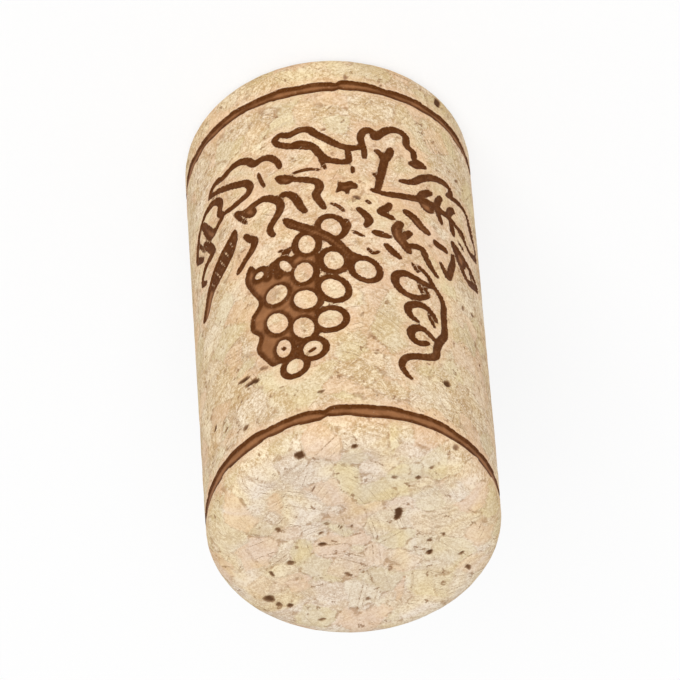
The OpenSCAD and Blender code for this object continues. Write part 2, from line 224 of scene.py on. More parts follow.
# Short strokes, heavy strokes and blots where the leaves meet
SPRIGS = [
    [(-4.8, 6.5), (-4.1, 6.3), (-3.6, 5.6), (-3.3, 4.7), (-2.9, 3.9)],
    [(-4.2, 8.1), (-3.3, 7.7), (-2.5, 7.4), (-1.8, 7.0), (-1.7, 6.3), (-2.0, 5.6), (-1.7, 4.7), (-1.4, 4.0)],
    [(1.2, 3.9), (1.7, 3.3), (2.0, 2.7), (1.7, 2.0)],
    [(2.3, 1.4), (2.9, 1.3), (3.5, 1.2)],
    [(3.8, 4.9), (3.5, 4.4), (3.0, 3.8), (4.0, 3.4)],
    [(5.4, 2.4), (4.9, 1.8), (4.5, 1.2)],
    [(5.0, 0.7), (5.8, 1.0), (6.4, 1.0), (6.7, 0.2), (7.1, -0.6), (7.7, -1.3)],
    [(3.2, 0.2), (3.7, -0.4), (4.3, -0.9)],
]
HEAVY_SPRIGS = [
    [(5.1, 4.6), (5.9, 4.2), (6.5, 3.6), (7.1, 3.3)],
    [(4.6, 3.1), (4.2, 2.3), (4.3, 1.5), (4.8, 0.7), (5.1, 0.1)],
]
BLOTS = [
    [(-0.2, 7.1), (0.2, 6.8), (0.8, 7.0), (1.3, 6.6), (1.2, 6.1), (0.7, 6.0), (0.5, 5.3), (0.1, 5.8),
     (-0.5, 5.6), (-0.3, 6.3)],
    [(-5.2, 8.7), (-4.3, 8.6), (-3.5, 8.0), (-3.9, 7.5), (-4.8, 7.7)],
    [(-4.8, 3.8), (-4.2, 3.6), (-3.0, 2.4), (-3.5, 2.1), (-4.5, 2.7)],
    [(7.6, 2.9), (8.3, 2.9), (9.1, 2.8), (9.1, 2.2), (8.2, 2.2), (7.6, 2.3)],
    [(5.7, 10.5), (6.4, 10.1), (7.4, 10.9), (6.5, 11.1)],
]
# Thin strokes and specks of ink, FINE_W wide
FINE_STROKES = [
    [(-6.6, 9.9), (-6.4, 9.0), (-6.1, 8.1)],
    [(1.0, 8.6), (1.0, 7.9)],
    [(1.9, 4.9), (2.2, 4.6)],
    [(-9.2, 7.2), (-8.6, 6.1), (-7.9, 5.1)],
    [(-14.3, 8.4), (-13.7, 7.3), (-13.1, 6.3)],
    [(-12.5, 6.8), (-12.0, 5.9), (-11.6, 5.0)],
    [(-3.7, 8.5), (-2.6, 8.6), (-1.6, 8.4)],
    [(-1.5, 9.6), (-1.3, 9.0), (-1.1, 8.4)],
    [(-4.2, 11.6), (-3.2, 11.3), (-2.2, 10.9)],
    [(2.6, 8.1), (3.0, 7.6)],
    [(0.2, 2.6), (0.4, 2.0), (0.2, 1.3)],
    [(0.6, 1.3), (1.0, 1.1), (1.5, 0.8)],
    [(1.7, -0.5), (2.1, -1.0), (2.6, -0.7)],
    [(5.3, -1.0), (5.8, -1.9)],
    [(6.2, -3.1), (6.7, -4.1)],
    [(5.7, -3.2), (6.1, -4.2)],
    [(6.4, -6.2), (7.0, -7.4)],
    [(12.3, 2.9), (12.7, 2.0)],
    [(-0.9, 4.5), (-0.3, 4.1), (0.1, 3.5)],
    [(10.7, 5.0), (11.6, 4.6)],
    [(-5.5, -10.2), (-5.3, -10.4)],
    [(-3.4, -11.5), (-2.9, -11.2)],
    [(-5.3, 0.4), (-4.7, 0.2), (-4.2, 0.3)],
    [(-5.0, 0.0), (-4.4, -0.1)],
]

# Pits and slits that show in the cork: middle, half length, half width, turn in degrees, and how
# dark. The first list lies on the top end in x and y, the second on the side in the ornament's x and
# y. Both are in the ornament's units.
TOP_MARKS = [
    (-3.17, -2.70, 0.84, 0.32, 82, 1.0),
    (4.50, -9.00, 0.50, 0.36, 20, 0.8),
    (3.35, -5.60, 0.60, 0.16, 75, 0.35),
    (-2.70, -6.70, 0.40, 0.18, 150, 0.4),
    (-4.50, -6.60, 0.40, 0.26, 160, 0.5),
    (2.40, 0.40, 0.44, 0.28, 10, 0.6),
    (1.20, -1.50, 0.30, 0.24, 0, 0.45),
    (0.30, -1.50, 0.22, 0.26, 0, 0.45),
    (2.20, -1.80, 0.26, 0.20, 0, 0.4),
    (2.60, -0.80, 0.32, 0.20, 30, 0.5),
    (6.20, 3.50, 0.46, 0.22, 130, 0.6),
    (4.85, 2.35, 0.40, 0.30, 0, 0.5),
    (6.30, 6.20, 0.62, 0.42, 140, 0.6),
    (5.60, 6.90, 0.40, 0.26, 140, 0.5),
    (4.70, 6.95, 0.34, 0.30, 0, 0.6),
    (0.35, 3.75, 0.62, 0.18, 155, 0.5),
    (-5.75, 1.35, 0.36, 0.28, 60, 0.8),
    (-5.70, 0.10, 0.34, 0.22, 30, 0.5),
    (-6.70, -0.50, 0.50, 0.20, 120, 0.5),
    (-8.20, 1.50, 0.50, 0.18, 50, 0.5),
    (-8.80, 3.00, 0.40, 0.22, 100, 0.6),
    (-1.20, 6.30, 0.36, 0.26, 0, 0.4),
    (2.20, 8.50, 0.50, 0.22, 10, 0.4),
    (-0.80, 0.70, 0.70, 0.12, 95, 0.3),
    (-5.50, -7.60, 0.40, 0.20, 60, 0.35),
]
SIDE_MARKS = [
    (-8.4, -12.2, 1.00, 0.24, 172, 0.8),
    (-9.3, -11.3, 0.85, 0.22, 168, 0.7),
    (-7.2, -11.4, 0.60, 0.20, 165, 0.5),
    (7.75, -13.0, 0.56, 0.38, 40, 0.8),
    (-2.75, -15.9, 0.42, 0.24, 0, 0.5),
    (-11.6, -14.8, 0.40, 0.22, 20, 0.4),
    (1.6, -16.6, 0.30, 0.14, 70, 0.3),
    (10.6, -2.6, 0.44, 0.24, 60, 0.4),
    (12.2, -2.0, 0.50, 0.22, 30, 0.4),
    (8.2, -19.6, 0.50, 0.32, 60, 0.6),
    (0.9, -7.9, 0.42, 0.14, 60, 0.3),
    (11.3, 12.4, 0.70, 0.14, 50, 0.4),
    (-0.4, 15.4, 0.50, 0.14, 40, 0.3),
    (1.0, 18.9, 0.44, 0.22, 90, 0.5),
]

# Grid of the surface: the wall has 4 * END_GRID columns, each end is END_GRID squares wide
END_GRID = 92
SIDE_ROWS = 198
EDGE_ROWS = 13
# How far a wall point may slide to the print's edge, as a share of a square's shorter side, and the
# least squared slope of the distance that it reckons with
SLIDE_SHARE = 0.42
LEAST_STEEP = 0.3
# Flat places for the painted copy: height of the wall's strip, width of an end's disc, middles of the
# foot's disc and the top's, and the margin at the outer edge
BAKE_STRIP = 0.64
BAKE_DISC = 0.33
BAKE_MIDDLES = ((0.2, 0.175), (0.6, 0.175))
BAKE_MARGIN = 0.002

# Granules: their spacing, how much their sizes differ, how far the lowest lie under the highest, and
# the depth and width of the grooves along their borders
GRANULE = 2.3
GRANULE_SPREAD = 0.5
GRANULE_STEP = 0.03
GROOVE_DEPTH = 0.035
GROOVE_W = 0.16
# Scattered hollows: spacing of the places that may hold one, share that do, and greatest depth
HOLLOW_SPACING = 2.7
HOLLOW_SHARE = 0.3
HOLLOW_DEPTH = 0.16
# Their half length and half width: the least, and the most that chance adds
HOLLOW_LENGTH = (0.35, 0.75)
HOLLOW_WIDTH = (0.16, 0.3)
# Depth of the shortest as a share of the longest's
SHORT_HOLLOW = 0.45
# Shares of its size between which a hollow, and a mark that shows, rises from its floor to the surface
HOLLOW_RISE = (0.45, 1.0)
MARK_RISE = (0.4, 1.05)
# Soft noise that bends the borders, the hollows and the marks: height, spacing and salt of each layer
GRANULE_BEND = [(0.35, 1.4, 3), (0.12, 0.5, 4)]
HOLLOW_BEND = [(0.12, 0.45, 7)]
MARK_BEND = [(0.1, 0.4, 8)]
# Depth and spacing of the fine unevenness
ROUGH_DEPTH = 0.02
ROUGH_SPACING = 0.7
# Shares that the press leaves of a hollow's depth, and then of all relief under the print
PRESSED_HOLLOW = 0.4
PRESSED_RELIEF = 0.35


def smooth_step(low, high, x):
    """0 below low, 1 above high, and 3t^2 - 2t^3 of the share t of the way between them."""
    t = np.clip((x - low) / (high - low), 0, 1)
    return t * t * (3 - 2 * t)


def random_of(cells, salt):
    """Three even random numbers from 0 to 1 for each whole-number cell, others for each salt. The
    cell's numbers and the salt are multiplied by large primes and joined by exclusive or, and for
    each random number the result is twice shifted, joined with itself and multiplied again."""
    mask = 0x7FFFFFFF
    mixed = (cells[..., 0] * 73856093) ^ (cells[..., 1] * 19349663) ^ (cells[..., 2] * 83492791)
    mixed = (mixed ^ (salt * 50331653)) & mask
    numbers = []
    for _ in range(3):
        mixed = ((mixed ^ (mixed >> 13)) * 1274126177) & mask
        mixed = ((mixed ^ (mixed >> 16)) * 668265263) & mask
        numbers.append(((mixed ^ (mixed >> 15)) & 0xFFFFFF) / 0x1000000)
    return np.stack(numbers, -1)


def soft_noise(points, spacing, salt):
    """Three smooth random fields from -1 to 1: the random numbers at the eight corners of the cube
    that a point lies in, mixed by the smooth steps of its place in the cube."""
    place = points / spacing
    cell = np.floor(place).astype(np.int64)
    share = smooth_step(0, 1, place - cell)
    total = 0
    for corner in itertools.product((0, 1), repeat=3):
        weight = np.prod(np.where(corner, share, 1 - share), -1)
        total = total + weight[:, None] * random_of(cell + np.array(corner), salt)
    return 2 * total - 1


def bend(points, layers):
    """The points moved by soft noise, with the height, spacing and salt of each layer."""
    bent = points
    for height, spacing, salt in layers:
        bent = bent + height * soft_noise(points, spacing, salt)
    return bent


def cubes_around(points, spacing):
    """In turn, the 27 cubes that are the one in which each point lies and those that touch it."""
    cell = np.floor(points / spacing).astype(np.int64)
    for step in itertools.product((-1, 0, 1), repeat=3):
        yield cell + np.array(step)


def smooth_curve(points, closed=False):
    """A curve through the points with CURVE_STEPS pieces to a stretch: at the share t from b to c,
    with neighbours a and d, it is b + t/2 (c-a) + t^2/2 (2a-5b+4c-d) + t^3/2 (3b-a-3c+d)."""
    p = MOTIF_SIZE * np.array(points, float)
    if closed:
        a, b, c, d = np.roll(p, 1, 0), p, np.roll(p, -1, 0), np.roll(p, -2, 0)
    else:
        b, c = p[:-1], p[1:]
        a, d = np.vstack([p[:1], b[:-1]]), np.vstack([c[1:], p[-1:]])
    t = (np.arange(CURVE_STEPS) / CURVE_STEPS)[None, :, None]
    a, b, c, d = (q[:, None] for q in (a, b, c, d))
    curve = b + t / 2 * (c - a) + t**2 / 2 * (2 * a - 5 * b + 4 * c - d)
    curve = (curve + t**3 / 2 * (3 * b - a - 3 * c + d)).reshape(-1, 2)
    return curve if closed else np.vstack([curve, p[-1:]])


def oval(grape, extra=0.0):
    """Outline of an ellipse with its middle, half sizes and tilt in degrees, grown by extra."""
    x, y, half_w, half_h = (MOTIF_SIZE * size for size in grape[:4])
    turn = 2 * np.pi * np.arange(OVAL_SIDES) / OVAL_SIDES
    across, along = (half_w + extra) * np.cos(turn), (half_h + extra) * np.sin(turn)
    c, s = math.cos(math.radians(grape[4])), math.sin(math.radians(grape[4]))
    return np.stack([x + across * c - along * s, y + across * s + along * c], -1)


def strip(ends, width):
    """Outline of a straight strip with square ends between two points."""
    start, end = MOTIF_SIZE * np.array(ends, float)
    along = (end - start) / np.linalg.norm(end - start)
    side = width / 2 * np.array([-along[1], along[0]])
    return np.array([start + side, end + side, end - side, start - side])


def to_segments(at, start, end):
    """Distance of each place from each segment, and the share of the segment where it is nearest."""
    step = end - start
    length = np.maximum((step**2).sum(-1), 1e-12)
    share = np.clip(((at[:, None] - start) * step).sum(-1) / length, 0, 1)
    gap = at[:, None] - start - share[..., None] * step
    return np.sqrt((gap**2).sum(-1)), share


class Print:
    """Signed distance to the edge of the print at each place (x, y): positive inside the print.
    Shapes are joined by the larger distance, and cut out by the smaller of it and minus theirs."""

    REACH = 1.5

    def __init__(self, at):
        self.at = at
        self.depth = np.full(len(at), -self.REACH)

    def near(self, outline):
        """The places within REACH of the outline's box."""
        low, high = outline.min(0) - self.REACH, outline.max(0) + self.REACH
        return np.flatnonzero(((self.at > low) & (self.at < high)).all(-1))

    def line(self, points, width, closed=False):
        """Adds a line of round strokes: half the width minus the distance, largest over its segments.
        An open line narrows to TIP_SHARE at its tips. Between them it swells as the square root of
        the sine of half a turn times the share of the way."""
        curve = smooth_curve(points, closed)
        if closed:
            curve = np.vstack([curve, curve[:1]])
            swell = np.ones(len(curve))
        else:
            along = np.linspace(0, 1, len(curve))
            swell = TIP_SHARE + (1 - TIP_SHARE) * np.sin(np.pi * along) ** 0.5
        rows = self.near(curve)
        half = width / 2 * swell
        gap, share = to_segments(self.at[rows], curve[:-1], curve[1:])
        inside = (half[:-1] + share * (half[1:] - half[:-1]) - gap).max(-1)
        self.depth[rows] = np.maximum(self.depth[rows], inside)

    def signed(self, rows, outline):
        """Distance to the outline, positive inside it, where a ray to the right crosses the outline
        an odd number of times."""
        start, end = outline, np.roll(outline, -1, 0)
        gap, _ = to_segments(self.at[rows], start, end)
        x, y = self.at[rows].T[:, :, None]
        spans = (start[:, 1] > y) != (end[:, 1] > y)
        rise = np.where(end[:, 1] == start[:, 1], 1, end[:, 1] - start[:, 1])
        crossing = start[:, 0] + (y - start[:, 1]) / rise * (end[:, 0] - start[:, 0])
        odd = (spans & (x < crossing)).sum(-1) % 2
        return np.where(odd, 1, -1) * gap.min(-1)

    def patch(self, outline):
        """Adds a filled shape."""
        rows = self.near(outline)
        self.depth[rows] = np.maximum(self.depth[rows], self.signed(rows, outline))

    def bare(self, outline):
        """Cuts a shape out."""
        rows = self.near(outline)
        self.depth[rows] = np.minimum(self.depth[rows], -self.signed(rows, outline))

    def field(self, inside):
        """Adds a shape whose signed distance is already known at every place."""
        self.depth = np.maximum(self.depth, inside)


def waves(turn, phase, parts):
    """Sum of sines round the stopper: each part's height times the sine of its number of waves times
    the turn, plus its share of the phase."""
    return sum(height * np.sin(count * turn + share * phase) for height, count, share in parts)


def bell(x, reach):
    """1 in the middle, falling off to both sides as e to minus the square of x over reach."""
    return np.exp(-((x / reach) ** 2))


def printed_frame(x, z):
    """Signed distance to the bands and seam lines. A band is half its width minus the distance from
    its middle, which wavers round the stopper and steps where the print's ends met. A seam line is
    the same, upright. The bands stop at the bare gap of the seam, on the side away from the grapes."""
    turn = 2 * np.pi * x / GIRTH
    from_seam = GIRTH / 4 - x
    inside = []
    for middle, width, phase, step_at in BANDS:
        past = x - step_at
        step = BAND_STEP * (smooth_step(-STEP_W, STEP_W, past) - 0.5) * bell(past, STEP_REACH)
        half = width / 2 + waves(turn, phase, BAND_SWELL) - BAND_NECK * bell(past, NECK_REACH)
        band = half - np.abs(z - middle - waves(turn, phase, BAND_WAVER) + step)
        inside.append(np.minimum(band, from_seam - SEAM_GAP / 2))
    middle = (SEAM_GAP + SEAM_W) / 2 + SEAM_LEAN * (z - MOTIF_Z)
    seam = SEAM_W / 2 + SEAM_SWELL * np.sin(SEAM_WAVES * z) - np.abs(from_seam - middle)
    ends = np.minimum(BAND_TOP_Z + BAND_TOP_W / 2 - z, z - BAND_FOOT_Z + BAND_FOOT_W / 2)
    inside.append(np.minimum(seam, ends))
    return np.max(inside, 0)


def print_depth(points):
    """Signed distance to the print for points on the side. A point's place across its panel is the
    angle from the nearer panel's middle times the radius, so both halves carry the same drawing."""
    x = CORK_R * np.arctan2(-points[:, 0], np.abs(points[:, 1]))
    z = points[:, 2]
    ink = Print(np.stack([x, MOTIF_Z - z], -1))
    ink.patch(smooth_curve(BUNCH_SHADE, True))
    for grape in GRAPES:
        ink.patch(oval(grape, GRAPE_RING))
    for grape in GRAPES:
        ink.bare(oval(grape))
    ink.patch(oval(LONE_GRAPE, GRAPE_RING))
    ink.bare(oval(LONE_GRAPE))
    ink.patch(smooth_curve(HATCHED_LOBE, True))
    for stripe in HATCHES:
        ink.bare(strip(stripe, HATCH_W))
    for points_of_line in [BUNCH_STEM] + HEAVY_SPRIGS:
        ink.line(points_of_line, STEM_W)
    for points_of_line in CURL + SMALL_LEAF + LEFT_LEAF + RIGHT_LEAF + TENDRIL + SPRIGS:
        ink.line(points_of_line, LINE_W)
    ink.line(RIGHT_LEAF_LOBE, LINE_W, True)
    for outline in LEFT_LEAF_SHADE + RIGHT_LEAF_SHADE + BLOTS:
        ink.patch(smooth_curve(outline, True))
    for stroke in FINE_STROKES:
        ink.line(stroke, FINE_W)
    ink.field(printed_frame(x, z))
    return ink.depth


def granules(points):
    """Granules as cells around scattered middles, one in each cube of GRANULE, each with a weight
    that makes it reach further. Gives the cube of each point's granule, and half the difference
    between the distances to the nearest two, which is the distance to the granule's border."""
    bent = bend(points, GRANULE_BEND)
    nearest = np.full(len(points), np.inf)
    second = np.full(len(points), np.inf)
    own = np.zeros(points.shape, np.int64)
    for cube in cubes_around(bent, GRANULE):
        middle = (cube + random_of(cube, 1)) * GRANULE
        gap = np.linalg.norm(bent - middle, axis=-1) - GRANULE_SPREAD * random_of(cube, 2)[:, 0]
        closer = gap < nearest
        second = np.where(closer, nearest, np.minimum(second, gap))
        nearest = np.where(closer, gap, nearest)
        own[closer] = cube[closer]
    return own, (second - nearest) / 2


def spheroid(offset, axis, half_length, half_width):
    """Distance from the middle of a long ball in units of its own size, 1 on its surface: the root
    of the squares of the distances along its axis and across it, each over its half size."""
    along = (offset * axis).sum(-1)
    across = (offset**2).sum(-1) - along**2
    return np.sqrt(np.maximum(across, 0) / half_width**2 + along**2 / half_length**2)


def scattered_hollows(points):
    """How deep each point lies in a scattered hollow, from 0 to 1. Each cube of HOLLOW_SPACING may
    hold one long ball at a random place, with random axis, length and width."""
    bent = bend(points, HOLLOW_BEND)
    depth = np.zeros(len(points))
    for cube in cubes_around(bent, HOLLOW_SPACING):
        middle = (cube + random_of(cube, 11)) * HOLLOW_SPACING
        axis = 2 * random_of(cube, 12) - 1
        axis /= np.linalg.norm(axis, axis=-1, keepdims=True)
        chance, length, width = random_of(cube, 13).T
        half_length = HOLLOW_LENGTH[0] + HOLLOW_LENGTH[1] * length
        half_width = HOLLOW_WIDTH[0] + HOLLOW_WIDTH[1] * width**2
        size = spheroid(bent - middle, axis, half_length, half_width)
        hollow = (1 - smooth_step(*HOLLOW_RISE, size)) * (SHORT_HOLLOW + (1 - SHORT_HOLLOW) * length)
        depth = np.where(chance < HOLLOW_SHARE, np.maximum(depth, hollow), depth)
    return depth


def seen_marks(points):
    """How deep each point lies in one of the marks that show, from 0 to 1. Each is a long ball. One
    on the top end lies on its flat or rounded edge, and one on the side on the turn and height of its
    place, with its axis in the plane that touches the side."""
    bent = bend(points, MARK_BEND)
    depth = np.zeros(len(points))
    for on_top, marks in ((True, TOP_MARKS), (False, SIDE_MARKS)):
        for *lengths, turn, dark in marks:
            x, y, half_length, half_width = (MOTIF_SIZE * length for length in lengths)
            c, s = math.cos(math.radians(turn)), math.sin(math.radians(turn))
            if on_top:
                sunk = max(0.0, math.hypot(x, y) - (CORK_R - EDGE_R))
                middle = np.array([x, y, CORK_L - EDGE_R + math.sqrt(EDGE_R**2 - sunk**2)])
                axis = np.array([c, s, 0])
            else:
                angle = x / CORK_R
                middle = np.array([-CORK_R * math.sin(angle), -CORK_R * math.cos(angle), MOTIF_Z - y])
                axis = np.array([-c * math.cos(angle), c * math.sin(angle), -s])
            near = np.flatnonzero(((points - middle) ** 2).sum(-1) < (2 * half_length) ** 2)
            size = spheroid(bent[near] - middle, axis, half_length, half_width)
            depth[near] = np.maximum(depth[near], dark * (1 - smooth_step(*MARK_RISE, size)))
    return depth


def wall():
    """Points and outward directions of the wall, row by row from the foot's flat to the top's flat.
    A row of an end edge lies on a quarter circle of EDGE_R, a row of the side straight above the
    last, and each row is turned to the columns' angles."""
    turns = np.linspace(0, np.pi / 2, EDGE_ROWS + 1)
    straight = np.linspace(EDGE_R, CORK_L - EDGE_R, SIDE_ROWS + 1)
    core = CORK_R - EDGE_R
    foot_r, foot_z = core + EDGE_R * np.sin(turns), EDGE_R * (1 - np.cos(turns))
    top_r, top_z = foot_r[::-1], CORK_L - foot_z[::-1]
    radius = np.concatenate([foot_r[:-1], np.full(SIDE_ROWS + 1, CORK_R), top_r[1:]])
    height = np.concatenate([foot_z[:-1], straight, top_z[1:]])
    out = np.concatenate([np.sin(turns[:-1]), np.ones(SIDE_ROWS + 1), np.sin(turns[::-1][1:])])
    up = np.concatenate([-np.cos(turns[:-1]), np.zeros(SIDE_ROWS + 1), np.cos(turns[::-1][1:])])
    columns = 4 * END_GRID
    angle = -np.pi / 4 + 2 * np.pi * np.arange(columns) / columns
    circle = np.stack([np.cos(angle), np.sin(angle)], -1)
    points = np.empty((len(radius), columns, 3))
    outward = np.empty_like(points)
    points[..., :2] = radius[:, None, None] * circle
    points[..., 2] = height[:, None]
    outward[..., :2] = out[:, None, None] * circle
    outward[..., 2] = up[:, None]
    return points, outward


def disc(z):
    """A square grid drawn out to a flat disc: on the ring of squares at share r from the middle, a
    place at share s along its side goes to radius r and angle 45 degrees times s from that side's
    middle. Its outermost ring is evenly spaced, as the wall's columns are."""
    side = np.linspace(-1, 1, END_GRID + 1)
    a, b = np.meshgrid(side, side, indexing="ij")
    wide = np.abs(a) >= np.abs(b)
    reach = np.where(wide, a, b)
    safe = np.where(reach == 0, 1, reach)
    angle = np.where(wide, np.pi / 4 * b / safe, np.pi / 2 - np.pi / 4 * a / safe)
    reach = reach * (CORK_R - EDGE_R)
    return np.stack([reach * np.cos(angle), reach * np.sin(angle), np.full_like(a, z)], -1)


def disc_numbers(first, ring):
    """Vertex numbers of a disc's grid: the outermost ring takes the wall's own vertices, found by
    counting sides from the corner at -45 degrees, and the inner ones are counted from first."""
    n = END_GRID
    numbers = np.empty((n + 1, n + 1), int)
    numbers[1:-1, 1:-1] = first + np.arange((n - 1) ** 2).reshape(n - 1, n - 1)
    numbers[n, :] = ring[: n + 1]
    numbers[::-1, n] = ring[n : 2 * n + 1]
    numbers[0, ::-1] = ring[2 * n : 3 * n + 1]
    numbers[:, 0] = np.append(ring[3 * n :], ring[0])
    return numbers


def squares(numbers):
    """The four corners of every square of a grid of vertex numbers, in turn."""
    corners = (numbers[:-1, :-1], numbers[1:, :-1], numbers[1:, 1:], numbers[:-1, 1:])
    return np.stack([c.ravel() for c in corners], -1)


def drawn_to_edge(points, depth):
    """Wall points near the edge of the print slide onto it, so that the pressed edge follows the
    drawing and not the grid. A point moves by its distance over the squared slope of the distance,
    against that slope, by less than half a square."""
    along_z = (CORK_L - 2 * EDGE_R) / SIDE_ROWS
    along_x = GIRTH / (4 * END_GRID)
    slope_z = np.gradient(depth, along_z, axis=0)
    slope_x = (np.roll(depth, -1, 1) - np.roll(depth, 1, 1)) / (2 * along_x)
    steep = np.maximum(slope_x**2 + slope_z**2, LEAST_STEEP)
    reach = SLIDE_SHARE * min(along_x, along_z)
    close = np.abs(depth) < reach
    move = np.where(close, -depth / steep, 0)
    turn = np.clip(move * slope_x, -reach, reach) / CORK_R
    climb = np.clip(move * slope_z, -reach, reach)
    c, s = np.cos(turn), np.sin(turn)
    x, y, z = np.moveaxis(points, -1, 0)
    moved = np.stack([x * c - y * s, x * s + y * c, z + climb], -1)
    return moved, np.where(close, 0, depth)


def add_numbers(mesh, name, values):
    """Keeps one number for each vertex, or three, under the name that the material reads."""
    kind, key = ("FLOAT", "value") if values.ndim == 1 else ("FLOAT_VECTOR", "vector")
    mesh.attributes.new(name, kind, "POINT").data.foreach_set(key, values.astype(np.float32).ravel())


def bake_places(wall_shape, disc_faces, points):
    """Flat places for the painted copy, one for each corner of each face: the wall's rows and columns
    as a wide strip, and under it the two ends as discs, from their x and y."""
    rows, columns = wall_shape
    u, v = np.meshgrid(np.arange(columns + 1) / columns, np.arange(rows) / (rows - 1))
    across = BAKE_MARGIN + (1 - 2 * BAKE_MARGIN) * u
    up = 1 - BAKE_STRIP + (BAKE_STRIP - BAKE_MARGIN) * v
    grid = np.stack([across, up], -1).reshape(-1, 2)
    numbers = np.arange(rows * (columns + 1)).reshape(rows, columns + 1)
    parts = [grid[squares(numbers.T)].reshape(-1, 2)]
    scale = BAKE_DISC / (2 * (CORK_R - EDGE_R))
    for faces, middle in zip(disc_faces, BAKE_MIDDLES):
        parts.append((np.array(middle) + scale * points[faces][..., :2]).reshape(-1, 2))
    return np.concatenate(parts)


def relief(points, level, border, hollow, depth):
    """How far each point lies under the plain form. Its granule's level, from 0 to 1, counts for
    GRANULE_STEP and fades out towards the border, where a groove of uneven depth runs. The fine
    unevenness and the hollows are added. Under the print their sum is flattened and PRESS_DEPTH added."""
    bare = 1 - smooth_step(0, PRESS_SLOPE, depth)
    groove = 1 - smooth_step(0, GROOVE_W, border)
    unevenness = 0.5 + 0.5 * soft_noise(points, ROUGH_SPACING, 21)[:, 0]
    sunk = GRANULE_STEP * level * smooth_step(0, 2 * GROOVE_W, border)
    sunk = sunk + GROOVE_DEPTH * groove * unevenness + ROUGH_DEPTH * unevenness
    sunk = sunk + HOLLOW_DEPTH * hollow * (PRESSED_HOLLOW + (1 - PRESSED_HOLLOW) * bare)
    return sunk * (PRESSED_RELIEF + (1 - PRESSED_RELIEF) * bare) + PRESS_DEPTH * (1 - bare)


def make_stopper():
    """The closed surface: fields at every point of the plain form, then each point moves inwards,
    against its outward direction, by its relief."""
    points, outward = wall()
    shape = points.shape[:2]
    depth = print_depth(points.reshape(-1, 3)).reshape(shape)
    points, depth = drawn_to_edge(points, depth)
    inner = [disc(z)[1:-1, 1:-1].reshape(-1, 3) for z in (0, CORK_L)]
    on_end = len(inner[0])
    flat = np.concatenate([points.reshape(-1, 3), *inner])
    depth = np.concatenate([depth.ravel(), np.full(2 * on_end, -Print.REACH)])
    end_normals = np.repeat([(0, 0, -1), (0, 0, 1)], on_end, 0)
    normal = np.concatenate([outward.reshape(-1, 3), end_normals])

    numbers = np.arange(shape[0] * shape[1]).reshape(shape)
    foot_numbers = disc_numbers(numbers.size, numbers[0])
    top_numbers = disc_numbers(numbers.size + on_end, numbers[-1])
    wall_faces = squares(np.hstack([numbers, numbers[:, :1]]).T)
    foot_faces = squares(foot_numbers)[:, ::-1]
    top_faces = squares(top_numbers)
    faces = np.concatenate([wall_faces, foot_faces, top_faces])

    own, border = granules(flat)
    nature = random_of(own, 5)
    lamella = 2 * random_of(own, 6) - 1
    hollow = np.maximum(scattered_hollows(flat), seen_marks(flat))
    sunk = relief(flat, nature[:, 0], border, hollow, depth)
    placed = (flat - normal * sunk[:, None]) * MM

    mesh = bpy.data.meshes.new("cork_stopper")
    mesh.from_pydata(placed, [], faces.tolist())
    mesh.shade_smooth()
    uv = mesh.uv_layers.new(name="OFBake")
    uv.data.foreach_set("uv", bake_places(shape, (foot_faces, top_faces), flat).ravel())
    add_numbers(mesh, "print_depth", depth)
    add_numbers(mesh, "border", border)
    add_numbers(mesh, "hollow", hollow)
    add_numbers(mesh, "nature", nature)
    add_numbers(mesh, "lamella", lamella)
    piece = bpy.data.objects.new("cork_stopper", mesh)
    bpy.context.scene.collection.objects.link(piece)
    return piece


class Value:
    """What a node gives. On numbers, its operators add the matching Math nodes."""

    def __init__(self, paint, socket):
        self.paint = paint
        self.socket = socket

    def math(self, operation, first, second):
        """The Math node of that name on two numbers."""
        return self.paint.node("ShaderNodeMath", {"operation": operation}, {0: first, 1: second})

    def __add__(self, other):
        return self.math("ADD", self, other)

    def __sub__(self, other):
        return self.math("SUBTRACT", self, other)

    def __rsub__(self, other):
        return self.math("SUBTRACT", other, self)

    def __mul__(self, other):
        return self.math("MULTIPLY", self, other)

    __radd__ = __add__
    __rmul__ = __mul__

    def also(self, output):
        """Another output of the same node."""
        return Value(self.paint, self.paint.pick(self.socket.node.outputs, output))

    def step(self, low, high):
        """0 below low and 1 above high, smooth between them."""
        settings = {"interpolation_type": "SMOOTHSTEP"}
        inputs = {"Value": self, "From Min": low, "From Max": high}
        return self.paint.node("ShaderNodeMapRange", settings, inputs)


